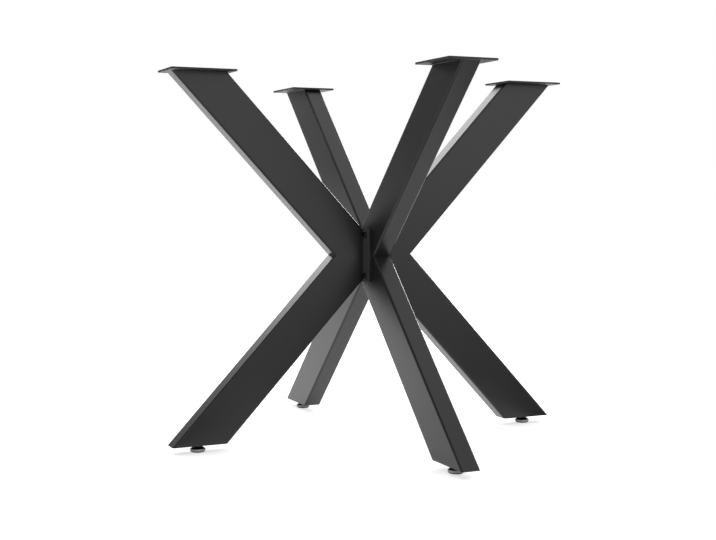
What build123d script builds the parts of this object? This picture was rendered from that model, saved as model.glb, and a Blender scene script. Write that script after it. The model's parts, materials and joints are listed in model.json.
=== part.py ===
from build123d import *
import os
from math import asin, atan2, cos, degrees, hypot, sin, tan

# Cross-legged steel table frame for a large table top, in millimetres.
# A welded X of rectangular tube stands front to back. A K-shaped leg is bolted to each of its broad sides.
# Every leg ends in a screw-on plate for the table top and in a levelling foot.
# The origin is on the floor below the crossing, +X points to the right leg and +Z up.

# Overall sizes: floor to plate tops, axis to the outer edge of a foot, height of the crossing,
# and axis to the outer edge of a bolted leg where it is narrowest
FRAME_H = 727.0
REACH = 419.0
WAIST_Z = 371.4
LEG_WAIST_R = 84.4

# Rectangular tube of all legs: broad side, narrow side, wall, and the gap of a coped end to its seat
TUBE_D = 80.0
TUBE_T = 38.0
WALL = 2.0
TUBE_INNER_R = 2.0
COPE_GAP = 0.05

# Plates for the table top: a flange stands out beside the tube, an overhang beyond each end of its cut
PLATE_T = 3.5
PLATE_FLANGE = 30.0
PLATE_OUTER_OVERHANG = 6.0
PLATE_INNER_OVERHANG = 8.0
PLATE_CORNER_R = 4.0
PLATE_HOLE_D = 6.5
PLATE_HOLE_OFFSET = 15.7

# Bolted joint between the X and a K-shaped leg: plate on the leg, screws, rivet nuts in the X
HUB_PLATE_T = 5.0
HUB_FLANGE = 31.0
HUB_MARGIN = 12.5
HUB_CORNER_R = 3.0
HUB_SCREW_OFFSET = 12.0
HUB_SCREW_EDGE = 11.0
SCREW_D = 8.0
SCREW_HOLE_CLEARANCE = 0.5
SCREW_HEAD_D = 14.0
SCREW_HEAD_H = 4.4
SCREW_HEAD_RIM_H = 1.4
SCREW_HEAD_TOP_D = 7.4
SCREW_SOCKET_AF = 5.0
SCREW_SOCKET_DEPTH = 2.6
RIVET_NUT_D = 11.0
RIVET_NUT_L = 14.0
RIVET_BULGE_D = 15.0
RIVET_BULGE_L = 4.0
RIVET_HOLE_CLEARANCE = 0.05
THREAD_CLEARANCE = 0.05

# Levelling feet: plate and nut in the leg, stud with a flanged hexagon, flat-topped moulded glide
FOOT_LIFT = 14.0
FOOT_PLATE_T = 4.0
FOOT_PLATE_FIT = 0.1
STUD_D = 10.0
STUD_L = 46.0
STUD_CHAMFER = 1.0
STUD_HOLE_CLEARANCE = 0.5
NUT_AF = 17.0
NUT_H = 8.0
COLLAR_AF = 17.0
COLLAR_GAP = 0.5
FLANGE_D = 26.5
FLANGE_RIM_H = 0.8
FLANGE_H = 4.2
BASE_D = 29.5
BASE_FLOOR_D = 24.0
BASE_ROUND_H = 4.4
BASE_H = 6.4
BASE_BEVEL = 0.5
BASE_FLOOR_T = 2.6

# Levels of the tubes' level cuts, and the heights of the legs below and above the crossing
tube_top_z = FRAME_H - PLATE_T
lower_h = WAIST_Z - FOOT_LIFT
upper_h = tube_top_z - WAIST_Z

# Slopes: the X's tubes cross on the axis, and all four feet reach equally far
x_slope = atan2(lower_h, REACH) + asin(TUBE_D / 2 / hypot(REACH, lower_h))
leg_slope = atan2(lower_h, REACH - LEG_WAIST_R)
x_waist_r = TUBE_D / 2 / sin(x_slope)
x_cut_l = TUBE_D / sin(x_slope)
leg_cut_l = TUBE_D / sin(leg_slope)

# Distance from the axis of the middle of each level cut
x_foot_r = x_waist_r + lower_h / tan(x_slope) - x_cut_l / 2
x_top_r = x_waist_r + upper_h / tan(x_slope) - x_cut_l / 2
leg_foot_r = LEG_WAIST_R + lower_h / tan(leg_slope) - leg_cut_l / 2
leg_top_r = LEG_WAIST_R + upper_h / tan(leg_slope) - leg_cut_l / 2

# The K-shaped leg ends at its hub plate, whose screws hold in the four arms of the X
hub_face_r = TUBE_T / 2 + HUB_PLATE_T
leg_center_r = LEG_WAIST_R - leg_cut_l / 2
hub_plate_w = TUBE_T + 2 * HUB_FLANGE
hub_plate_h = TUBE_D + 2 * HUB_MARGIN
hub_screw_y = TUBE_T / 2 + HUB_SCREW_OFFSET
hub_screw_z = hub_plate_h / 2 - HUB_SCREW_EDGE
HUB_SCREWS = [(y, z) for y in (-hub_screw_y, hub_screw_y) for z in (-hub_screw_z, hub_screw_z)]

# Plates for the table top, all four alike
plate_l = x_cut_l + PLATE_OUTER_OVERHANG + PLATE_INNER_OVERHANG
plate_shift = (PLATE_OUTER_OVERHANG - PLATE_INNER_OVERHANG) / 2
plate_w = TUBE_T + 2 * PLATE_FLANGE
plate_hole_y = TUBE_T / 2 + PLATE_HOLE_OFFSET

# More than the whole frame, for bars and blocks that are cut back later
BEYOND = FRAME_H + REACH

# Each leg: name, turn about +Z, distance from the axis at its foot and at its top, slope, crossing point
LEGS = [
    ("right", 0, leg_foot_r, leg_top_r, leg_slope, leg_center_r),
    ("back", 90, x_foot_r, x_top_r, x_slope, 0.0),
    ("left", 180, leg_foot_r, leg_top_r, leg_slope, leg_center_r),
    ("front", 270, x_foot_r, x_top_r, x_slope, 0.0),
]


def turned(shape, angle):
    """The shape of a leg that points along +X, turned about the frame's axis to its own side."""
    return Rot(0, 0, angle) * shape


def bar(slope, center_r, inset):
    """A long bar of the tube's outline less an inset, rising along +X through the crossing height."""
    plane = Plane(
        origin=(center_r, 0, WAIST_Z),
        x_dir=(0, 1, 0),
        z_dir=(cos(slope), 0, sin(slope)),
    )
    outline = RectangleRounded(
        TUBE_T - 2 * inset,
        TUBE_D - 2 * inset,
        TUBE_INNER_R + WALL - inset,
    )
    return extrude(plane * outline, amount=BEYOND, both=True)


def tube(slope, center_r):
    return bar(slope, center_r, 0.0) - bar(slope, center_r, WALL)


def block(x_low, x_high, z_low, z_high):
    """A block between two distances from the axis and two heights, as deep as anything here."""
    middle = Pos((x_low + x_high) / 2, 0, (z_low + z_high) / 2)
    return middle * Box(x_high - x_low, 2 * BEYOND, z_high - z_low)


def hub_bores(diameter, x_low, x_high):
    """Cylinders along X, one for each hub screw."""
    axis = Rot(0, 90, 0) * Cylinder(diameter / 2, x_high - x_low)
    middle = (x_low + x_high) / 2
    return Compound([Pos(middle, y, WAIST_Z + z) * axis for y, z in HUB_SCREWS])


def hexagon(across_flats, height):
    return extrude(RegularPolygon(across_flats / 2, 6, major_radius=False), amount=height)


def x_tubes():
    """The long tube from front foot to back top, and the two half tubes coped onto it."""
    bores = hub_bores(RIVET_NUT_D + 2 * RIVET_HOLE_CLEARANCE, -TUBE_T, TUBE_T)
    height = block(-BEYOND, BEYOND, FOOT_LIFT, tube_top_z)
    long_tube = turned(tube(x_slope, 0.0) & height, 90)
    seat = turned(bar(x_slope, 0.0, -COPE_GAP), 90)
    crossing = tube(x_slope, 0.0) & height
    upper = turned(crossing & block(0, BEYOND, WAIST_Z, tube_top_z), 270) - seat
    lower = turned(crossing & block(-BEYOND, 0, FOOT_LIFT, WAIST_Z), 270) - seat
    return {
        "x_long_tube": long_tube - bores,
        "x_front_upper_tube": upper - bores,
        "x_back_lower_tube": lower - bores,
    }


def leg_tubes(side, angle):
    """Upper and lower arm of a K-shaped leg, mitred at the waist and cut upright at the hub plate."""
    upper = tube(leg_slope, leg_center_r) & block(hub_face_r, BEYOND, WAIST_Z, tube_top_z)
    lower = tube(-leg_slope, leg_center_r) & block(hub_face_r, BEYOND, FOOT_LIFT, WAIST_Z)
    return {
        f"{side}_upper_tube": turned(upper, angle),
        f"{side}_lower_tube": turned(lower, angle),
    }


def hub_plate():
    upright = Plane(origin=(TUBE_T / 2, 0, WAIST_Z), x_dir=(0, 1, 0), z_dir=(1, 0, 0))
    outline = RectangleRounded(hub_plate_w, hub_plate_h, HUB_CORNER_R)
    holes = hub_bores(SCREW_D + 2 * SCREW_HOLE_CLEARANCE, 0, 2 * hub_face_r)
    return extrude(upright * outline, amount=HUB_PLATE_T) - holes


def hub_screw():
    """Button-head screw along +Z, with its head's bearing face at the origin."""
    head = Pos(0, 0, SCREW_HEAD_H / 2) * Cylinder(SCREW_HEAD_D / 2, SCREW_HEAD_H)
    slope_w = (SCREW_HEAD_D - SCREW_HEAD_TOP_D) / 2
    slope_h = SCREW_HEAD_H - SCREW_HEAD_RIM_H
    top_edge = head.edges().group_by(Axis.Z)[-1]
    head = chamfer(top_edge, slope_w, slope_h, reference=head.faces().sort_by(Axis.Z)[-1])
    socket = Pos(0, 0, SCREW_HEAD_H - SCREW_SOCKET_DEPTH) * hexagon(SCREW_SOCKET_AF, SCREW_SOCKET_DEPTH)
    shank_l = HUB_PLATE_T + RIVET_NUT_L - THREAD_CLEARANCE
    shank = Pos(0, 0, -shank_l / 2) * Cylinder(SCREW_D / 2, shank_l)
    return head - socket + shank


def rivet_nut():
    """Blind rivet nut along +Z, flush with the tube's outer face at the origin and set behind its wall."""
    body = Pos(0, 0, -RIVET_NUT_L / 2) * Cylinder(RIVET_NUT_D / 2, RIVET_NUT_L)
    bulge = Pos(0, 0, -WALL - RIVET_BULGE_L / 2) * Cylinder(RIVET_BULGE_D / 2, RIVET_BULGE_L)
    bore = Pos(0, 0, -RIVET_NUT_L / 2) * Cylinder(SCREW_D / 2 + THREAD_CLEARANCE, RIVET_NUT_L)
    return body + bulge - bore


def at_hub_screws(piece, x):
    """Copies of a piece made along +Z, one at each hub screw, pointing along +X."""
    return Compound([Pos(x, y, WAIST_Z + z) * Rot(0, 90, 0) * piece for y, z in HUB_SCREWS])


def top_plate(middle_r):
    outline = RectangleRounded(plate_l, plate_w, PLATE_CORNER_R)
    plate = extrude(Plane(origin=(middle_r + plate_shift, 0, tube_top_z)) * outline, amount=PLATE_T)
    hole = Cylinder(PLATE_HOLE_D / 2, 2 * FRAME_H)
    return plate - [Pos(middle_r, y, 0) * hole for y in (-plate_hole_y, plate_hole_y)]


def foot_plate(slope, center_r, middle_r):
    """Plate welded into the lower end of a leg, with a hole for the levelling foot."""
    inside = bar(-slope, center_r, WALL + FOOT_PLATE_FIT)
    plate = inside & block(0, BEYOND, FOOT_LIFT, FOOT_LIFT + FOOT_PLATE_T)
    hole = Pos(middle_r, 0, 0) * Cylinder(STUD_D / 2 + STUD_HOLE_CLEARANCE, BEYOND)
    return plate - hole


def foot_nut(middle_r):
    """Weld nut on top of a foot plate."""
    nut = hexagon(NUT_AF, NUT_H) - Cylinder(STUD_D / 2 + THREAD_CLEARANCE, 3 * NUT_H)
    return Pos(middle_r, 0, FOOT_LIFT + FOOT_PLATE_T) * nut


def foot_stud(middle_r):
    """Threaded stud of a levelling foot, with the flanged hexagon that it is turned by."""
    stud = Pos(0, 0, STUD_L / 2) * Cylinder(STUD_D / 2, STUD_L)
    stud = chamfer(stud.edges().group_by(Axis.Z)[-1], STUD_CHAMFER)
    rim = Pos(0, 0, FLANGE_RIM_H / 2) * Cylinder(FLANGE_D / 2, FLANGE_RIM_H)
    flare = Cone(FLANGE_D / 2, COLLAR_AF / 2, FLANGE_H - FLANGE_RIM_H)
    flare = Pos(0, 0, (FLANGE_RIM_H + FLANGE_H) / 2) * flare
    collar = rim + flare + hexagon(COLLAR_AF, FOOT_LIFT - COLLAR_GAP - BASE_H)
    return Pos(middle_r, 0, BASE_FLOOR_T) * (stud + Pos(0, 0, BASE_H - BASE_FLOOR_T) * collar)


def foot_base(middle_r):
    """Moulded glide of a levelling foot: a flat disc with a rounded lower edge and a bevelled upper one."""
    floor_r = BASE_FLOOR_D / 2
    rim_r = BASE_D / 2
    outline = [
        Line((0, 0), (floor_r, 0)),
        TangentArc((rim_r, BASE_ROUND_H), (floor_r, 0), tangent=(0, -1)),
        Polyline(
            (rim_r, BASE_ROUND_H),
            (rim_r, BASE_H - BASE_BEVEL),
            (rim_r - BASE_BEVEL, BASE_H),
            (0, BASE_H),
            (0, 0),
        ),
    ]
    base = revolve(Plane.XZ * make_face(outline), Axis.Z)
    socket_h = BASE_H - BASE_FLOOR_T
    socket = Pos(0, 0, BASE_FLOOR_T + socket_h / 2) * Cylinder(STUD_D / 2 + THREAD_CLEARANCE, socket_h)
    return Pos(middle_r, 0, 0) * (base - socket)


nodes = x_tubes()
for side, angle, foot_r, top_r, slope, center_r in LEGS:
    nodes[f"{side}_top_plate"] = turned(top_plate(top_r), angle)
    nodes[f"{side}_foot_plate"] = turned(foot_plate(slope, center_r, foot_r), angle)
    nodes[f"{side}_foot_nut"] = turned(foot_nut(foot_r), angle)
    nodes[f"{side}_foot_stud"] = turned(foot_stud(foot_r), angle)
    nodes[f"{side}_foot_base"] = turned(foot_base(foot_r), angle)
for side, angle in (("right", 0), ("left", 180)):
    nodes.update(leg_tubes(side, angle))
    nodes[f"{side}_hub_plate"] = turned(hub_plate(), angle)
    nodes[f"{side}_hub_screws"] = turned(at_hub_screws(hub_screw(), hub_face_r), angle)
    nodes[f"{side}_rivet_nuts"] = turned(at_hub_screws(rivet_nut(), TUBE_T / 2), angle)

os.makedirs("parts", exist_ok=True)
for name, shape in nodes.items():
    export_step(shape, f"parts/{name}.step")

print("slopes", round(degrees(x_slope), 2), round(degrees(leg_slope), 2))
print("foot distances", round(x_foot_r, 2), round(leg_foot_r, 2))
print("top plate distances", round(x_top_r, 2), round(leg_top_r, 2))
print("top plate", round(plate_l, 2), round(plate_w, 2), "hub plate", hub_plate_w, hub_plate_h)
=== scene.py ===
import json
import math

import bmesh
import bpy
from bpy.props import FloatProperty, FloatVectorProperty, IntProperty, PointerProperty
from mathutils import Matrix, Vector

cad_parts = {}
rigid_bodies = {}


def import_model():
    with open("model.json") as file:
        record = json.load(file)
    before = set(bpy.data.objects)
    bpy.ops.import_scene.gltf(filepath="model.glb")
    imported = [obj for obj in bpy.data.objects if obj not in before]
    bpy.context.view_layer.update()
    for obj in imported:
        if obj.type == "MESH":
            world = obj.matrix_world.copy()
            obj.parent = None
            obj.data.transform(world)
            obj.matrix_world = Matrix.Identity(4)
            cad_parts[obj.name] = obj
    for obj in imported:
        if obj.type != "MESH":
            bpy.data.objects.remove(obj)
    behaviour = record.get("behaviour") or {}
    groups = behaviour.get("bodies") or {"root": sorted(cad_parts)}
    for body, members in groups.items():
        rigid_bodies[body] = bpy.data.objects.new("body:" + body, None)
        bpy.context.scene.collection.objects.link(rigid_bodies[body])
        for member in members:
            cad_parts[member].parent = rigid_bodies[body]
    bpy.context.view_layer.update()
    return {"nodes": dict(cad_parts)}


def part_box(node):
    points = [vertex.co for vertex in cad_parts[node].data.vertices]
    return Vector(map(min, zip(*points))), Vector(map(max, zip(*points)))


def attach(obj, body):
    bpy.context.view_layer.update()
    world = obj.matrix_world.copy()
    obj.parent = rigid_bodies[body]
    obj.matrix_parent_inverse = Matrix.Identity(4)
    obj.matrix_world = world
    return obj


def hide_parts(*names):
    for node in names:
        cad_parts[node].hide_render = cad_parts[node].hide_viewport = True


for start_object in list(bpy.data.objects):
    bpy.data.objects.remove(start_object)
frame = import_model()

bl_info = {
    "name": "Metal table frame",
    "version": (1, 0, 0),
    "blender": (4, 5, 0),
    "location": "View3D > Sidebar > Table frame",
    "description": "Dresses a black four-legged table frame and sets it on a plain studio floor",
    "category": "Object",
}

MM = 0.001
SIDES = ("right", "back", "left", "front")
BOLTED_SIDES = ("right", "left")
OUTWARDS = {"right": (1, 0, 0), "back": (0, 1, 0), "left": (-1, 0, 0), "front": (0, -1, 0)}
TOP_TUBES = {
    "right": "right_upper_tube",
    "back": "x_long_tube",
    "left": "left_upper_tube",
    "front": "x_front_upper_tube",
}

# How exactly the meshes are made
MERGE_GAP = 0.002 * MM  # points nearer than this become one
CUT_GAP = 0.001 * MM  # points nearer than this to a level cut lie on it
NEAR = 0.01 * MM  # places within this of each other count as the same
STRAIGHT = 0.9  # a face looks straight along an axis if its normal reaches this far along it
ASIDE = 0.4  # a face looks aside of an axis if its normal reaches no further along it than this

# A Mix node repeats the names of its sockets for each kind of value, so its colours go by number
MIX_FIRST, MIX_SECOND, MIX_RESULT = 6, 7, 2

# How strongly the finishes that aren't metal bend light, and how far the coat's gloss strays either way
COAT_IOR = 1.44
DULL_COAT_IOR = 1.41
NYLON_IOR = 1.53
COAT_GLOSS_DRIFT = 0.03

# The studio faces the camera: its places are to the right of, behind and above the frame as seen there
STUDIO_ANGLE = math.radians(-25.08)
STUDIO_TURN = Matrix.Rotation(STUDIO_ANGLE, 3, "Z")
FLOOR_SIZE = 60.0
SENSOR_WIDTH = 36.0
WHITE = (1.0, 1.0, 1.0, 1.0)
# Each lamp's setting for its power, its width and height, its place and the point that it looks at
LAMPS = {
    "high_softbox": ("softbox_power", (3.4, 1.6), (-1.26, 2.18, 2.0), (0, 0, 0.37)),
    "low_fill": ("fill_power", (2.6, 1.2), (2.4, -2.0, 1.0), (0, 0, 0.5)),
    "rim_softbox": ("rim_power", (1.2, 1.2), (1.7, 2.9, 1.6), (0, 0, 0.4)),
    "top_softbox": ("top_power", (1.5, 1.5), (0.74, 0.56, 2.4), (0, 0, 0.3)),
}
# Each card's width and depth, its tilt and swing in degrees, its place and its grey
CARDS = {
    "side_card": ((2.2, 1.8), (90, 85), (-2.0, 1.0, 1.3), "#3a3a3a"),
    "front_card": ((2.9, 1.8), (0, 0), (1.15, -1.32, 0.004), "#d6d6d6"),
    "right_card": ((1.6, 1.5), (0, 27), (1.41, -0.142, 0.006), "#7a7a7a"),
    "left_card": ((1.0, 0.42), (0, -8), (-0.62, -0.42, 0.004), "#8a8a8a"),
    "high_card": ((1.6, 1.6), (46, -52), (-1.15, -0.9, 1.6), "#181818"),
}


def to_linear(hex_colour):
    """A written sRGB colour as the linear values that Blender's sockets take."""
    channels = [int(hex_colour[i:i + 2], 16) / 255 for i in (1, 3, 5)]
    linear = [c / 12.92 if c <= 0.04045 else ((c + 0.055) / 1.055) ** 2.4 for c in channels]
    return (*linear, 1.0)


def length(name, description, default):
    """A length in metres for the sidebar."""
    return FloatProperty(
        name=name, description=description, default=default, min=0.0, precision=5, unit="LENGTH"
    )


def share(name, description, default):
    """A number from 0 to 1 for the sidebar."""
    return FloatProperty(
        name=name, description=description, default=default, min=0.0, max=1.0, subtype="FACTOR"
    )


def count(name, description, default):
    """A whole number for the sidebar."""
    return IntProperty(name=name, description=description, default=default, min=4, max=64)


def slope(name, description, degrees):
    """An angle for the sidebar, from its value in degrees."""
    return FloatProperty(name=name, description=description, default=math.radians(degrees), subtype="ANGLE")


def power(name, description, watts):
    """The power of a lamp for the sidebar."""
    return FloatProperty(name=name, description=description, default=watts, min=0.0, unit="POWER")


def colour(name, description, hex_colour):
    """A colour for the sidebar, from its written sRGB value."""
    return FloatVectorProperty(
        name=name, description=description, default=to_linear(hex_colour), size=4, min=0.0, max=1.0,
        subtype="COLOR",
    )


class FinishSettings(bpy.types.PropertyGroup):
    """Colours, gloss and grain of the surfaces."""

    coat_colour: colour("Coat", "Powder coat where it lies thick", "#161617")
    coat_thin_colour: colour("Coat, thin", "Powder coat where it lies thinner", "#1b1b1c")
    coat_drift: length("Coat drift", "Width over which the coat goes from thick to thin", 90.0 * MM)
    coat_roughness: share("Coat roughness", "Satin of the powder coat on the tubes", 0.33)
    sheet_roughness: share("Top plate roughness", "Dullness of the powder coat on the top plates", 0.52)
    peel_size: length("Orange peel", "Width of one ripple in the powder coat", 2.4 * MM)
    peel_depth: length("Orange peel depth", "Height of a ripple in the powder coat", 0.012 * MM)
    # Painted light and shade: the hub plates' faces are painted lighter than the rest of the coat, and
    # their edges are painted near black
    plate_painted_light_colour: colour("Plate coat", "Powder coat on the blasted faces of the hub plates", "#323233")
    plate_grit_painted_light_colour: colour("Plate grit", "The same coat over the marks of the blasting", "#39393a")
    grit_size: length("Grit", "Width of one mark of the blasting", 1.2 * MM)
    plate_edge_painted_shade_colour: colour("Cut edge", "Powder coat on the cut edges of the hub plates", "#0c0c0d")
    oxide_colour: colour("Black oxide", "Blackened steel of the screws and studs", "#222224")
    oxide_mark_colour: colour("Turning marks", "Blackened steel where a tool has marked it", "#2c2c2e")
    mark_size: length("Mark", "Width of one turning mark", 0.9 * MM)
    zinc_colour: colour("Zinc", "Plating of the nuts", "#b4b7ba")
    zinc_cloud_colour: colour("Clouded zinc", "Plating of the nuts in its dull patches", "#8f9396")
    cloud_size: length("Cloud", "Width of one dull patch in the zinc", 3.5 * MM)
    nylon_colour: colour("Nylon", "Moulded glides of the feet", "#a6a8aa")
    nylon_grain_colour: colour("Nylon grain", "Moulded glides on the tips of their grain", "#b0b2b4")
    grain_size: length("Grain", "Width of the grain that the mould left in the nylon", 0.7 * MM)
    # Painted shade: the glides are painted darker towards their lower edge, near the floor
    painted_floor_shade_colour: colour("Scuffed nylon", "Lower edge of the glides, darkened by floors", "#262728")
    painted_shade_full: length("Full scuff", "Height up to which the glides are as dark as they get", 1.4 * MM)
    painted_shade_height: length("Scuff height", "Height up to which the glides are darkened", 3.8 * MM)


class StudSettings(bpy.types.PropertyGroup):
    """Sizes of the threaded studs under the legs and of their flanged hexagons."""

    diameter: length("Thread", "Outer diameter of the thread", 10.0 * MM)
    pitch: length("Pitch", "Rise of the thread in one turn", 1.5 * MM)
    depth: length("Thread depth", "Height of the thread over its core", 0.92 * MM)
    crest: share("Crest", "Width of the thread's crest as a share of its pitch", 0.15)
    steps: count("Steps", "Faces in one turn of the thread", 24)
    tip_bevel: length("Tip bevel", "Bevel at the lower end of the rod", 0.8 * MM)
    collar_across: length("Hexagon", "Width of the hexagon across its flats", 17.0 * MM)
    collar_bottom: length("Flange bottom", "Height of the flange's lower face above the floor", 6.4 * MM)
    collar_height: length("Hexagon height", "Height of the hexagon with its flange", 7.1 * MM)
    collar_bevel: length("Hexagon bevel", "Softening of the hexagon's edges", 0.35 * MM)
    flange_diameter: length("Flange", "Diameter of the flange below the hexagon", 26.5 * MM)
    flange_rim: length("Flange rim", "Height of the flange's upright rim", 0.8 * MM)
    flange_height: length("Flange height", "Height at which the flange runs into the hexagon", 4.2 * MM)
    flange_bevel: length("Flange bevel", "Softening of the flange's rim", 0.25 * MM)


class ScrewSettings(bpy.types.PropertyGroup):
    """Sizes of the button-head screws at the crossing."""

    head_diameter: length("Head", "Diameter of the head at its rim", 14.0 * MM)
    head_height: length("Head height", "Height of the head over the plate", 4.4 * MM)
    rim_height: length("Rim", "Height of the upright rim below the dome", 1.4 * MM)
    top_diameter: length("Head top", "Diameter of the flat on top of the dome", 7.4 * MM)
    steps: count("Steps", "Faces round the head", 36)
    rings: count("Rings", "Rings of faces that make up the dome", 6)
    socket_across: length("Socket", "Width of the hexagon socket across its flats", 5.0 * MM)
    socket_depth: length("Socket depth", "Depth of the hexagon socket", 2.6 * MM)
    shank_diameter: length("Shank", "Diameter of the screw below its head", 8.0 * MM)


class WeldSettings(bpy.types.PropertyGroup):
    """Sizes of the ground welds and of the tube that they follow."""

    leg: length("Weld leg", "Width of a weld on each of the two pieces it joins", 0.8 * MM)
    crown: share("Weld crown", "Rise of a weld in its middle, as a share of its leg", 0.2)
    tube_broad: length("Tube, broad side", "Broad side of the rectangular tube", 80.0 * MM)
    tube_narrow: length("Tube, narrow side", "Narrow side of the rectangular tube", 38.0 * MM)
    tube_corner: length("Tube corner", "Radius of the tube's corners", 4.0 * MM)
    bolted_slope: slope("Slope, bolted legs", "Rise of the left and right legs over the floor", 46.89)
    crossed_slope: slope("Slope, crossed legs", "Rise of the front and back legs over the floor", 44.63)


class StageSettings(bpy.types.PropertyGroup):
    """Camera, floor and light of the studio."""

    camera_place: FloatVectorProperty(
        name="Camera", description="Place of the camera", default=(-1.0576, -2.2599, 0.5047),
        subtype="TRANSLATION",
    )
    camera_turn: FloatVectorProperty(
        name="Camera turn", description="Turn of the camera",
        default=(math.radians(86.21), 0.0, math.radians(-24.54)), subtype="EULER",
    )
    lens: FloatProperty(
        name="Lens", description="Focal length for a picture 36 mm wide", default=62.08, min=1.0,
        unit="CAMERA",
    )
    floor_colour: colour("Floor", "Plain pale floor", "#f4f4f4")
    floor_white: share("Floor white", "White that the eye and mirrors see over the floor's own light", 0.5)
    room_light: FloatProperty(
        name="Room light", description="Even light from all around", default=0.7, min=0.0
    )
    softbox_power: power("Softbox", "Power of the high softbox behind the frame", 50.0)
    fill_power: power("Fill", "Power of the low softbox beside the camera", 8.0)
    rim_power: power("Rim light", "Power of the softbox behind, at the right", 80.0)
    top_power: power("Top light", "Power of the softbox overhead", 2.8)


def finish_settings():
    """The sidebar's values for the surfaces."""
    return bpy.context.scene.table_frame_finish


def add_node(tree, kind, inputs=None, **settings):
    """Adds a node with its settings, its socket values and the links into it."""
    node = tree.nodes.new(kind)
    for name, value in settings.items():
        setattr(node, name, value)
    for name, value in (inputs or {}).items():
        if isinstance(value, bpy.types.NodeSocket):
            tree.links.new(value, node.inputs[name])
        else:
            node.inputs[name].default_value = value
    return node


def new_material(name):
    """An empty node material of that name."""
    material = bpy.data.materials.new(name)
    material.use_nodes = True
    material.node_tree.nodes.clear()
    return material


def grained(tree, place, width, detail, colours, roughness, strength, depth):
    """A fine noise that shifts a surface's colour, roughness and height together; gives those three."""
    noise = add_node(tree, "ShaderNodeTexNoise", {"Vector": place, "Scale": 1 / width, "Detail": detail})
    grain = noise.outputs["Fac"]
    tone = add_node(
        tree, "ShaderNodeMix",
        {"Factor": grain, MIX_FIRST: tuple(colours[0]), MIX_SECOND: tuple(colours[1])}, data_type="RGBA",
    )
    gloss = add_node(
        tree, "ShaderNodeMapRange", {"Value": grain, "To Min": roughness[0], "To Max": roughness[1]}
    )
    bump = add_node(tree, "ShaderNodeBump", {"Height": grain, "Strength": strength, "Distance": depth})
    return tone.outputs[MIX_RESULT], gloss.outputs["Result"], bump.outputs["Normal"]


def black_powder_coat(name, roughness):
    """Baked polyester powder on steel: deep black, a faint orange peel, pale only at a low angle."""
    looks = finish_settings()
    material = new_material(name)
    tree = material.node_tree
    place = add_node(tree, "ShaderNodeTexCoord").outputs["Object"]
    # Thickness of the coat drifts over a hand's width, which shifts its tone and gloss a little
    noise = add_node(
        tree, "ShaderNodeTexNoise", {"Vector": place, "Scale": 1 / looks.coat_drift, "Detail": 3.0}
    )
    drift = noise.outputs["Fac"]
    tone = add_node(
        tree, "ShaderNodeMix",
        {"Factor": drift, MIX_FIRST: tuple(looks.coat_colour), MIX_SECOND: tuple(looks.coat_thin_colour)},
        data_type="RGBA",
    )
    gloss = add_node(
        tree, "ShaderNodeMapRange",
        {"Value": drift, "To Min": roughness - COAT_GLOSS_DRIFT, "To Max": roughness + COAT_GLOSS_DRIFT},
    )
    # Real orange peel is near 1 mm wide; it is drawn wider so that a close view shows it
    peel = add_node(
        tree, "ShaderNodeTexNoise", {"Vector": place, "Scale": 1 / looks.peel_size, "Detail": 1.0}
    )
    bump = add_node(
        tree, "ShaderNodeBump",
        {"Height": peel.outputs["Fac"], "Strength": 1.0, "Distance": looks.peel_depth},
    )
    coat = add_node(
        tree, "ShaderNodeBsdfPrincipled",
        {
            "Base Color": tone.outputs[MIX_RESULT], "Roughness": gloss.outputs["Result"], "IOR": COAT_IOR,
            "Normal": bump.outputs["Normal"],
        },
    )
    add_node(tree, "ShaderNodeOutputMaterial", {"Surface": coat.outputs["BSDF"]})
    return material


def satin_black_powder_coat():
    """The powder coat on the smooth cold-rolled tubes: a satin gloss."""
    return black_powder_coat("satin_black_powder_coat", finish_settings().coat_roughness)


def matt_black_powder_coat():
    """The powder coat on the hot-rolled top plates, whose rougher skin leaves it nearly matt."""
    return black_powder_coat("matt_black_powder_coat", finish_settings().sheet_roughness)


def dull_black_powder_coat():
    """The same powder on blasted plate, duller; painted light makes the faces greyer and painted shade
    makes the edges deep black.
    """
    looks = finish_settings()
    material = new_material("dull_black_powder_coat")
    tree = material.node_tree
    place = add_node(tree, "ShaderNodeTexCoord")
    # The grit of the blasting shows through the coat
    tone, gloss, normal = grained(
        tree, place.outputs["Object"], width=looks.grit_size, detail=2.0,
        colours=(looks.plate_painted_light_colour, looks.plate_grit_painted_light_colour), roughness=(0.54, 0.66),
        strength=0.6, depth=0.02 * MM,
    )
    # The hub plates stand upright across X, so only their faces point along X: the faces get painted light,
    # the edges painted shade
    along = add_node(tree, "ShaderNodeSeparateXYZ", {"Vector": place.outputs["Normal"]}).outputs["X"]
    facing = add_node(tree, "ShaderNodeMath", {0: along}, operation="ABSOLUTE")
    face = add_node(
        tree, "ShaderNodeMapRange", {"Value": facing.outputs[0], "From Min": ASIDE, "From Max": STRAIGHT}
    )
    shown = add_node(
        tree, "ShaderNodeMix",
        {"Factor": face.outputs["Result"], MIX_FIRST: tuple(looks.plate_edge_painted_shade_colour), MIX_SECOND: tone},
        data_type="RGBA",
    )
    coat = add_node(
        tree, "ShaderNodeBsdfPrincipled",
        {
            "Base Color": shown.outputs[MIX_RESULT], "Roughness": gloss, "IOR": DULL_COAT_IOR,
            "Normal": normal,
        },
    )
    add_node(tree, "ShaderNodeOutputMaterial", {"Surface": coat.outputs["BSDF"]})
    return material


def black_oxide_steel():
    """Turned and blackened screw steel: dark, with a dull metal gleam and fine turning marks."""
    looks = finish_settings()
    material = new_material("black_oxide_steel")
    tree = material.node_tree
    place = add_node(tree, "ShaderNodeTexCoord")
    tone, gloss, normal = grained(
        tree, place.outputs["Object"], width=looks.mark_size, detail=3.0,
        colours=(looks.oxide_colour, looks.oxide_mark_colour), roughness=(0.34, 0.5),
        strength=0.6, depth=0.01 * MM,
    )
    steel = add_node(
        tree, "ShaderNodeBsdfPrincipled",
        {"Base Color": tone, "Metallic": 1.0, "Roughness": gloss, "Normal": normal},
    )
    add_node(tree, "ShaderNodeOutputMaterial", {"Surface": steel.outputs["BSDF"]})
    return material


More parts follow.
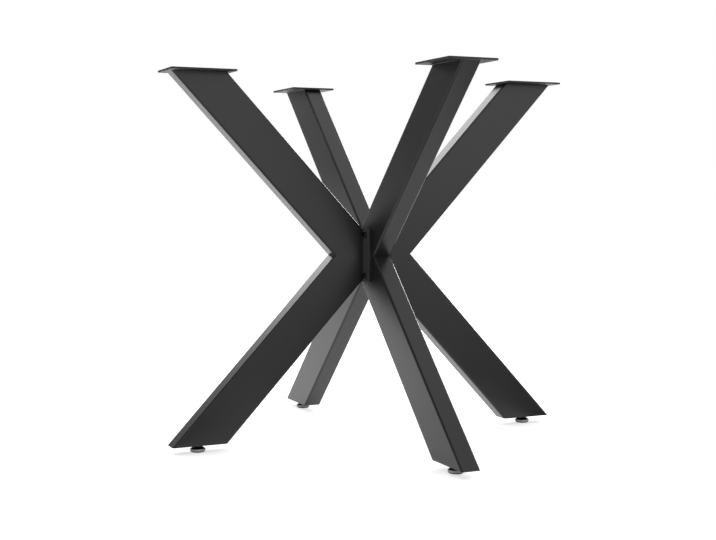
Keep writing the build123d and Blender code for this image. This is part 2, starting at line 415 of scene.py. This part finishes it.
def zinc_plated_steel():
    """Bright zinc on the nuts: pale cool metal, clouded in small patches."""
    looks = finish_settings()
    material = new_material("zinc_plated_steel")
    tree = material.node_tree
    place = add_node(tree, "ShaderNodeTexCoord")
    tone, gloss, normal = grained(
        tree, place.outputs["Object"], width=looks.cloud_size, detail=4.0,
        colours=(looks.zinc_colour, looks.zinc_cloud_colour), roughness=(0.24, 0.42),
        strength=0.5, depth=0.02 * MM,
    )
    zinc = add_node(
        tree, "ShaderNodeBsdfPrincipled",
        {"Base Color": tone, "Metallic": 1.0, "Roughness": gloss, "Normal": normal},
    )
    add_node(tree, "ShaderNodeOutputMaterial", {"Surface": zinc.outputs["BSDF"]})
    return material


def moulded_nylon():
    """Moulded glass-filled nylon: mid grey, matt, grained by the mould, with painted shade darkening it
    near the floor.
    """
    looks = finish_settings()
    material = new_material("moulded_nylon")
    tree = material.node_tree
    place = add_node(tree, "ShaderNodeTexCoord").outputs["Object"]
    tone, gloss, normal = grained(
        tree, place, width=looks.grain_size, detail=2.0,
        colours=(looks.nylon_colour, looks.nylon_grain_colour), roughness=(0.72, 0.86),
        strength=0.6, depth=0.02 * MM,
    )
    # Painted shade darkens the lower edge, up to a little over half the height of the glide
    height = add_node(tree, "ShaderNodeSeparateXYZ", {"Vector": place}).outputs["Z"]
    above_shade = add_node(
        tree, "ShaderNodeMapRange",
        {"Value": height, "From Min": looks.painted_shade_full, "From Max": looks.painted_shade_height},
    )
    shaded_low = add_node(
        tree, "ShaderNodeMix",
        {"Factor": above_shade.outputs["Result"], MIX_FIRST: tuple(looks.painted_floor_shade_colour), MIX_SECOND: tone},
        data_type="RGBA",
    )
    nylon = add_node(
        tree, "ShaderNodeBsdfPrincipled",
        {"Base Color": shaded_low.outputs[MIX_RESULT], "Roughness": gloss, "IOR": NYLON_IOR, "Normal": normal},
    )
    add_node(tree, "ShaderNodeOutputMaterial", {"Surface": nylon.outputs["BSDF"]})
    return material


FINISHES = {
    "black_powder_coat": satin_black_powder_coat,
    "black_oxide_steel": black_oxide_steel,
    "zinc_plated_steel": zinc_plated_steel,
    "grey_nylon": moulded_nylon,
}
made_finishes = {}


def finish(slot):
    """The material that stands for a slot of the record, made once."""
    if slot not in made_finishes:
        made_finishes[slot] = FINISHES[slot]()
    return made_finishes[slot]


def start_piece(name, add, **sizes):
    """Adds a primitive by itself, puts its place into its mesh and opens it in edit mode."""
    bpy.ops.object.select_all(action="DESELECT")
    add(**sizes)
    piece = bpy.context.object
    piece.name = name
    piece.data.name = name
    bpy.ops.object.transform_apply(location=True, rotation=True, scale=True)
    bpy.ops.object.mode_set(mode="EDIT")
    return piece


def select_where(piece, kind, test):
    """Selects the vertices, edges or faces of the open piece that pass a test, and nothing else."""
    bpy.ops.mesh.select_mode(type=kind)
    bpy.ops.mesh.select_all(action="DESELECT")
    shape = bmesh.from_edit_mesh(piece.data)
    elements = {"VERT": shape.verts, "EDGE": shape.edges, "FACE": shape.faces}[kind]
    chosen = [element for element in elements if test(element)]
    if not chosen:
        raise RuntimeError(f"{piece.name}: nothing to select")
    for element in chosen:
        element.select_set(True)
    shape.select_flush_mode()
    bmesh.update_edit_mesh(piece.data)


def looks_up(face):
    """True for a face that looks straight up."""
    return face.normal.z > STRAIGHT


def close_piece(piece, smooth_below=35.0):
    """Merges doubles, turns faces outwards, leaves edit mode and smooths edges under that many degrees."""
    bpy.ops.mesh.select_all(action="SELECT")
    bpy.ops.mesh.remove_doubles(threshold=MERGE_GAP)
    bpy.ops.mesh.normals_make_consistent(inside=False)
    bpy.ops.object.mode_set(mode="OBJECT")
    bpy.ops.object.shade_smooth_by_angle(angle=math.radians(smooth_below))


def copy_piece(piece, name, move):
    """A copy of a piece with its own mesh, moved by a matrix."""
    copy = piece.copy()
    copy.data = piece.data.copy()
    copy.name = name
    copy.data.name = name
    copy.data.transform(move)
    bpy.context.scene.collection.objects.link(copy)
    return copy


def join_pieces(pieces):
    """Joins pieces into the first one."""
    bpy.ops.object.select_all(action="DESELECT")
    for piece in pieces:
        piece.select_set(True)
    bpy.context.view_layer.objects.active = pieces[0]
    bpy.ops.object.join()
    return pieces[0]


def dress(piece, slot, body, *nodes):
    """Gives a finished piece its material, its body and the nodes it stands for."""
    piece.data.materials.clear()
    piece.data.materials.append(finish(slot))
    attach(piece, body)
    if nodes:
        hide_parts(*nodes)


def middle(node):
    """The middle of a node's box."""
    low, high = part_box(node)
    return (low + high) / 2


def hexagon_radius(across):
    """The radius to the corners of a hexagon of that width across its flats."""
    return across / 2 / math.cos(math.pi / 6)


class TABLEFRAME_OT_coat(bpy.types.Operator):
    """Gives each solid of the frame its finish"""

    bl_idname = "table_frame.coat"
    bl_label = "Finish the solids"

    def execute(self, context):
        for node in frame["nodes"].values():
            for slot in node.material_slots:
                slot.material = finish(slot.material.name.split(".")[0])
        hub_coat = dull_black_powder_coat()
        sheet_coat = matt_black_powder_coat()
        plates = {f"{side}_hub_plate": hub_coat for side in BOLTED_SIDES}
        plates |= {f"{side}_top_plate": sheet_coat for side in SIDES}
        for name, coat in plates.items():
            for slot in frame["nodes"][name].material_slots:
                slot.material = coat
        return {"FINISHED"}


class TABLEFRAME_OT_studs(bpy.types.Operator):
    """Models the threaded studs with their flanged hexagons"""

    bl_idname = "table_frame.studs"
    bl_label = "Threaded studs"

    def execute(self, context):
        sizes = context.scene.table_frame_studs
        low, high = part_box("right_foot_stud")
        thread_bottom = sizes.collar_bottom + sizes.collar_height / 2
        thread = self.roll_thread(sizes, thread_bottom, high.z)
        # The shank laps the first turn of the thread
        shank = self.turn_shank(sizes, low.z, thread_bottom + sizes.pitch)
        collar = self.cut_hexagon(sizes)
        flange = self.press_flange(sizes)
        stud = join_pieces([collar, flange, thread, shank])
        for side in SIDES:
            place = middle(f"{side}_foot_stud")
            copy = copy_piece(stud, f"{side}_threaded_stud", Matrix.Translation((place.x, place.y, 0)))
            dress(copy, "black_oxide_steel", f"{side}_foot", f"{side}_foot_stud")
        bpy.data.objects.remove(stud)
        return {"FINISHED"}

    def roll_thread(self, sizes, bottom, top):
        """The thread: the outline of one turn, carried up as a screw and cut level at both ends."""
        core = sizes.diameter / 2 - sizes.depth
        # The outline is an upright square whose outer side is pressed together to the crest.
        # It starts one turn low, so that the cut at the bottom goes through whole turns
        first_turn = bottom - sizes.pitch
        thread = start_piece(
            "thread", bpy.ops.mesh.primitive_plane_add, size=sizes.pitch,
            location=(core + sizes.pitch / 2, 0, first_turn), rotation=(math.pi / 2, 0, 0),
        )
        select_where(thread, "EDGE", lambda edge: all(v.co.x < core + NEAR for v in edge.verts))
        bpy.ops.mesh.delete(type="EDGE")
        select_where(thread, "VERT", lambda vertex: vertex.co.x > core + NEAR)
        bpy.ops.transform.resize(value=(1, 1, sizes.crest), center_override=(0, 0, first_turn))
        bpy.ops.transform.translate(value=(sizes.depth - sizes.pitch, 0, 0))
        bpy.ops.object.mode_set(mode="OBJECT")
        screw = thread.modifiers.new("turns", "SCREW")
        screw.axis = "Z"
        screw.screw_offset = sizes.pitch
        screw.iterations = math.ceil((top - first_turn) / sizes.pitch) + 1
        screw.steps = sizes.steps
        screw.render_steps = sizes.steps
        screw.use_merge_vertices = True
        screw.merge_threshold = MERGE_GAP
        bpy.ops.object.modifier_apply(modifier=screw.name)
        bpy.ops.object.mode_set(mode="EDIT")
        for height, clear_below, clear_above in ((bottom, True, False), (top, False, True)):
            bpy.ops.mesh.select_all(action="SELECT")
            bpy.ops.mesh.bisect(
                plane_co=(0, 0, height), plane_no=(0, 0, 1), use_fill=True,
                clear_inner=clear_below, clear_outer=clear_above, threshold=CUT_GAP,
            )
        close_piece(thread, smooth_below=30)
        return thread

    def turn_shank(self, sizes, bottom, top):
        """The plain lower end of the rod, which sits in the glide and the hexagon."""
        shank = start_piece(
            "shank", bpy.ops.mesh.primitive_cylinder_add, vertices=2 * sizes.steps,
            radius=sizes.diameter / 2, depth=top - bottom, location=(0, 0, (top + bottom) / 2),
        )
        select_where(shank, "EDGE", lambda edge: all(v.co.z < bottom + NEAR for v in edge.verts))
        bpy.ops.mesh.bevel(offset=sizes.tip_bevel, segments=2, affect="EDGES")
        close_piece(shank)
        return shank

    def cut_hexagon(self, sizes):
        """The hexagon for a spanner, with softened edges."""
        collar = start_piece(
            "collar", bpy.ops.mesh.primitive_cylinder_add, vertices=6,
            radius=hexagon_radius(sizes.collar_across), depth=sizes.collar_height,
            location=(0, 0, sizes.collar_bottom + sizes.collar_height / 2),
        )
        bpy.ops.mesh.bevel(offset=sizes.collar_bevel, segments=2, affect="EDGES")
        close_piece(collar)
        return collar

    def press_flange(self, sizes):
        """The round flange under the hexagon: an upright rim, then a cone that runs into the flats."""
        flange = start_piece(
            "flange", bpy.ops.mesh.primitive_cylinder_add, vertices=2 * sizes.steps,
            radius=sizes.flange_diameter / 2, depth=sizes.flange_rim,
            location=(0, 0, sizes.collar_bottom + sizes.flange_rim / 2),
        )
        select_where(flange, "FACE", looks_up)
        bpy.ops.mesh.extrude_region_move(
            TRANSFORM_OT_translate={"value": (0, 0, sizes.flange_height - sizes.flange_rim)}
        )
        shrink = sizes.collar_across / sizes.flange_diameter
        bpy.ops.transform.resize(value=(shrink, shrink, 1), center_override=(0, 0, 0))
        rim = sizes.flange_diameter / 2 - NEAR
        select_where(flange, "EDGE", lambda edge: all(v.co.xy.length > rim for v in edge.verts))
        bpy.ops.mesh.bevel(offset=sizes.flange_bevel, segments=2, affect="EDGES")
        close_piece(flange, smooth_below=30)
        return flange


class TABLEFRAME_OT_screws(bpy.types.Operator):
    """Models the domed socket screws that hold the bolted legs at the crossing"""

    bl_idname = "table_frame.screws"
    bl_label = "Socket screws"

    def execute(self, context):
        sizes = context.scene.table_frame_screws
        low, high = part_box("right_hub_screws")
        screw = self.turn_screw(sizes, high.x - low.x - sizes.head_height)
        # The rims of the heads reach to the sides of the node's box
        rim = sizes.head_diameter / 2
        aside = high.y - rim
        rise = (high.z - low.z) / 2 - rim
        middle_z = (high.z + low.z) / 2
        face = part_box("right_hub_plate")[1].x
        for side in BOLTED_SIDES:
            outwards = OUTWARDS[side][0]
            turn = Matrix.Rotation(outwards * math.pi / 2, 4, "Y")
            screws = []
            for across in (-1, 1):
                for upright in (-1, 1):
                    place = (outwards * face, across * aside, middle_z + upright * rise)
                    move = Matrix.Translation(place) @ turn
                    screws.append(copy_piece(screw, f"{side}_socket_screws", move))
            dress(join_pieces(screws), "black_oxide_steel", "frame", f"{side}_hub_screws")
        bpy.data.objects.remove(screw)
        return {"FINISHED"}

    def turn_screw(self, sizes, shank_length):
        """One upright screw, with its domed head above the origin and its shank below."""
        rim, top = sizes.head_diameter / 2, sizes.top_diameter / 2
        screw = start_piece(
            "button_screw", bpy.ops.mesh.primitive_cylinder_add, vertices=sizes.steps, radius=rim,
            depth=sizes.rim_height, location=(0, 0, sizes.rim_height / 2),
        )
        select_where(screw, "FACE", looks_up)
        # The dome rises in rings along a quarter of an ellipse
        radius, height = rim, sizes.rim_height
        for ring in range(1, sizes.rings + 1):
            turn = ring / sizes.rings * math.pi / 2
            next_radius = top + (rim - top) * math.cos(turn)
            next_height = sizes.rim_height + (sizes.head_height - sizes.rim_height) * math.sin(turn)
            bpy.ops.mesh.extrude_region_move(TRANSFORM_OT_translate={"value": (0, 0, next_height - height)})
            grow = next_radius / radius
            bpy.ops.transform.resize(value=(grow, grow, 1), center_override=(0, 0, next_height))
            radius, height = next_radius, next_height
        bpy.ops.mesh.delete(type="ONLY_FACE")
        # The flat on top runs to the hexagon, whose sides go down to a closed floor
        socket = hexagon_radius(sizes.socket_across)
        bpy.ops.mesh.primitive_circle_add(vertices=6, radius=socket, location=(0, 0, sizes.head_height))
        select_where(screw, "EDGE", lambda edge: all(v.co.z > sizes.head_height - NEAR for v in edge.verts))
        bpy.ops.mesh.bridge_edge_loops()
        select_where(
            screw, "EDGE",
            lambda edge: all(
                v.co.xy.length < socket + NEAR and v.co.z > sizes.rim_height for v in edge.verts
            ),
        )
        bpy.ops.mesh.extrude_edges_move(TRANSFORM_OT_translate={"value": (0, 0, -sizes.socket_depth)})
        bpy.ops.mesh.edge_face_add()
        select_where(
            screw, "FACE", lambda face: face.normal.z < -STRAIGHT and face.calc_center_median().z < NEAR
        )
        bpy.ops.mesh.inset(thickness=rim - sizes.shank_diameter / 2, depth=0)
        bpy.ops.mesh.extrude_region_move(TRANSFORM_OT_translate={"value": (0, 0, -shank_length)})
        close_piece(screw, smooth_below=32)
        return screw


class TABLEFRAME_OT_welds(bpy.types.Operator):
    """Lays the ground and coated welds between the legs and their top plates"""

    bl_idname = "table_frame.welds"
    bl_label = "Welds"

    def execute(self, context):
        for side in SIDES:
            weld = self.lay_weld(context.scene.table_frame_welds, side)
            dress(weld, "black_powder_coat", "frame")
        return {"FINISHED"}

    def lay_weld(self, sizes, side):
        """A fillet all round the tube where it meets the underside of its top plate."""
        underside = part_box(f"{side}_top_plate")[0].z
        slant = sizes.bolted_slope if side in BOLTED_SIDES else sizes.crossed_slope
        along = sizes.tube_broad / math.sin(slant)
        outwards = Vector(OUTWARDS[side])
        reach = max(corner.dot(outwards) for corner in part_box(TOP_TUBES[side]))
        place = outwards * (reach - along / 2) + Vector((0, 0, underside))
        spans = Vector([along if outwards[axis] else sizes.tube_narrow for axis in (0, 1)])
        # The outline of the slanting tube, cut level by the plate
        weld = start_piece(
            f"{side}_plate_weld", bpy.ops.mesh.primitive_plane_add, size=sizes.tube_narrow, location=place
        )
        bpy.ops.transform.resize(
            value=(spans.x / sizes.tube_narrow, spans.y / sizes.tube_narrow, 1), center_override=place
        )
        bpy.ops.mesh.select_mode(type="VERT")
        bpy.ops.mesh.select_all(action="SELECT")
        bpy.ops.mesh.bevel(offset=sizes.tube_corner, segments=4, affect="VERTICES")
        bpy.ops.mesh.delete(type="ONLY_FACE")
        # One leg of the fillet goes down the tube, the other out along the plate
        bpy.ops.mesh.select_mode(type="EDGE")
        bpy.ops.mesh.select_all(action="SELECT")
        down = -outwards * math.cos(slant) - Vector((0, 0, math.sin(slant)))
        bpy.ops.mesh.extrude_edges_move(TRANSFORM_OT_translate={"value": down * sizes.leg})
        select_where(weld, "EDGE", lambda edge: all(v.co.z > underside - NEAR for v in edge.verts))
        bpy.ops.mesh.extrude_edges_move(TRANSFORM_OT_translate={"value": (0, 0, 0)})
        bpy.ops.transform.resize(
            value=(1 + 2 * sizes.leg / spans.x, 1 + 2 * sizes.leg / spans.y, 1), center_override=place
        )
        # The face between the two legs has a line along its middle, which rises to the crown
        select_where(weld, "EDGE", lambda edge: edge.is_boundary)
        bpy.ops.mesh.bridge_edge_loops(number_cuts=1, interpolation="LINEAR")
        bpy.ops.mesh.select_all(action="SELECT")
        bpy.ops.mesh.normals_make_consistent(inside=False)
        drop = -down.z * sizes.leg
        select_where(weld, "VERT", lambda vertex: NEAR < underside - vertex.co.z < drop - NEAR)
        bpy.ops.transform.shrink_fatten(value=sizes.crown * sizes.leg)
        close_piece(weld, smooth_below=50)
        return weld


class TABLEFRAME_OT_stage(bpy.types.Operator):
    """Sets the floor, the light and the camera"""

    bl_idname = "table_frame.stage"
    bl_label = "Studio"

    def execute(self, context):
        studio = context.scene.table_frame_stage
        self.lay_floor(studio)
        self.light_room(studio)
        for name, (power_setting, size, place, aim) in LAMPS.items():
            self.hang_lamp(name, getattr(studio, power_setting), size, place, aim)
        for name, (size, turn, place, grey) in CARDS.items():
            self.put_card(name, size, turn, place, grey)
        self.place_camera(studio)
        context.scene.view_settings.view_transform = "Standard"
        return {"FINISHED"}

    def lay_floor(self, studio):
        """A wide pale floor that keeps the shadow."""
        floor = start_piece("studio_floor", bpy.ops.mesh.primitive_plane_add, size=FLOOR_SIZE)
        close_piece(floor)
        material = new_material("pale_studio_floor")
        tree = material.node_tree
        paint = add_node(
            tree, "ShaderNodeBsdfDiffuse", {"Color": tuple(studio.floor_colour), "Roughness": 0.0}
        )
        shown = add_node(
            tree, "ShaderNodeMath", {0: self.seen_rays(tree), 1: studio.floor_white}, operation="MULTIPLY"
        )
        white = add_node(tree, "ShaderNodeEmission", {"Color": WHITE, "Strength": shown.outputs[0]})
        both = add_node(
            tree, "ShaderNodeAddShader", {0: paint.outputs["BSDF"], 1: white.outputs["Emission"]}
        )
        add_node(tree, "ShaderNodeOutputMaterial", {"Surface": both.outputs["Shader"]})
        floor.data.materials.append(material)

    def seen_rays(self, tree):
        """One for what the camera sees, straight or by gloss and glass, and zero for light on its way."""
        path = add_node(tree, "ShaderNodeLightPath")
        seen = path.outputs["Is Camera Ray"]
        for ray in ("Is Glossy Ray", "Is Transmission Ray"):
            either = add_node(tree, "ShaderNodeMath", {0: seen, 1: path.outputs[ray]}, operation="MAXIMUM")
            seen = either.outputs[0]
        return seen

    def light_room(self, studio):
        """Even light from all around; the camera, mirrors and glass see it white."""
        world = bpy.data.worlds.new("studio_room")
        world.use_nodes = True
        tree = world.node_tree
        tree.nodes.clear()
        light = add_node(tree, "ShaderNodeBackground", {"Color": WHITE, "Strength": studio.room_light})
        white = add_node(tree, "ShaderNodeBackground", {"Color": WHITE, "Strength": 1.0})
        room = add_node(
            tree, "ShaderNodeMixShader",
            {0: self.seen_rays(tree), 1: light.outputs["Background"], 2: white.outputs["Background"]},
        )
        add_node(tree, "ShaderNodeOutputWorld", {"Surface": room.outputs["Shader"]})
        bpy.context.scene.world = world

    def hang_lamp(self, name, watts, size, place, aim):
        """A rectangular lamp at its place in the studio, turned to the point that it looks at."""
        lamp = bpy.data.lights.new(name, "AREA")
        lamp.shape = "RECTANGLE"
        lamp.size, lamp.size_y = size
        lamp.energy = watts
        hung = bpy.data.objects.new(name, lamp)
        bpy.context.scene.collection.objects.link(hung)
        hung.location = STUDIO_TURN @ Vector(place)
        view = STUDIO_TURN @ Vector(aim) - hung.location
        hung.rotation_euler = view.to_track_quat("-Z", "Y").to_euler()
        hung.visible_camera = False

    def put_card(self, name, size, turn, place, grey):
        """A grey card that only reflections see, which sets the tone of the coat's broad sides."""
        card = start_piece(name, bpy.ops.mesh.primitive_plane_add, size=1)
        bpy.ops.transform.resize(value=(*size, 1), center_override=(0, 0, 0))
        bpy.ops.object.mode_set(mode="OBJECT")
        tilt, swing = (math.radians(angle) for angle in turn)
        card.rotation_euler = (tilt, 0, swing + STUDIO_ANGLE)
        card.location = STUDIO_TURN @ Vector(place)
        bpy.ops.object.transform_apply(location=True, rotation=True, scale=True)
        material = new_material(f"{name}_cloth")
        tree = material.node_tree
        cloth = add_node(tree, "ShaderNodeBsdfDiffuse", {"Color": to_linear(grey)})
        add_node(tree, "ShaderNodeOutputMaterial", {"Surface": cloth.outputs["BSDF"]})
        card.data.materials.append(material)
        for ray in ("camera", "diffuse", "shadow", "transmission"):
            setattr(card, f"visible_{ray}", False)

    def place_camera(self, studio):
        """The camera of the main picture."""
        data = bpy.data.cameras.new("main_camera")
        data.sensor_width = SENSOR_WIDTH
        data.sensor_fit = "HORIZONTAL"
        data.lens = studio.lens
        camera = bpy.data.objects.new("main_camera", data)
        camera.location = studio.camera_place
        camera.rotation_euler = studio.camera_turn
        bpy.context.scene.collection.objects.link(camera)
        bpy.context.scene.camera = camera


OPERATORS = (
    TABLEFRAME_OT_coat, TABLEFRAME_OT_studs, TABLEFRAME_OT_screws, TABLEFRAME_OT_welds, TABLEFRAME_OT_stage,
)
SETTINGS = {
    "table_frame_finish": FinishSettings,
    "table_frame_studs": StudSettings,
    "table_frame_screws": ScrewSettings,
    "table_frame_welds": WeldSettings,
    "table_frame_stage": StageSettings,
}


class TABLEFRAME_PT_sidebar(bpy.types.Panel):
    """Lists the steps and sizes of the table frame"""

    bl_idname = "TABLEFRAME_PT_sidebar"
    bl_label = "Table frame"
    bl_space_type = "VIEW_3D"
    bl_region_type = "UI"
    bl_category = "Table frame"

    def draw(self, context):
        for step in OPERATORS:
            self.layout.operator(step.bl_idname)
        for name in SETTINGS:
            box = self.layout.box()
            settings = getattr(context.scene, name)
            for value in settings.bl_rna.properties:
                if value.identifier not in ("rna_type", "name"):
                    box.prop(settings, value.identifier)


def register():
    """Adds the settings, the operators and the panel to Blender."""
    for group in SETTINGS.values():
        bpy.utils.register_class(group)
    for name, group in SETTINGS.items():
        setattr(bpy.types.Scene, name, PointerProperty(type=group))
    for step in OPERATORS:
        bpy.utils.register_class(step)
    bpy.utils.register_class(TABLEFRAME_PT_sidebar)


def unregister():
    """Takes them out again, in the opposite order."""
    bpy.utils.unregister_class(TABLEFRAME_PT_sidebar)
    for step in reversed(OPERATORS):
        bpy.utils.unregister_class(step)
    for name in SETTINGS:
        delattr(bpy.types.Scene, name)
    for group in reversed(SETTINGS.values()):
        bpy.utils.unregister_class(group)


def main():
    """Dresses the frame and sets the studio."""
    register()
    bpy.ops.table_frame.coat()
    bpy.ops.table_frame.studs()
    bpy.ops.table_frame.screws()
    bpy.ops.table_frame.welds()
    bpy.ops.table_frame.stage()


if __name__ == "__main__":
    main()
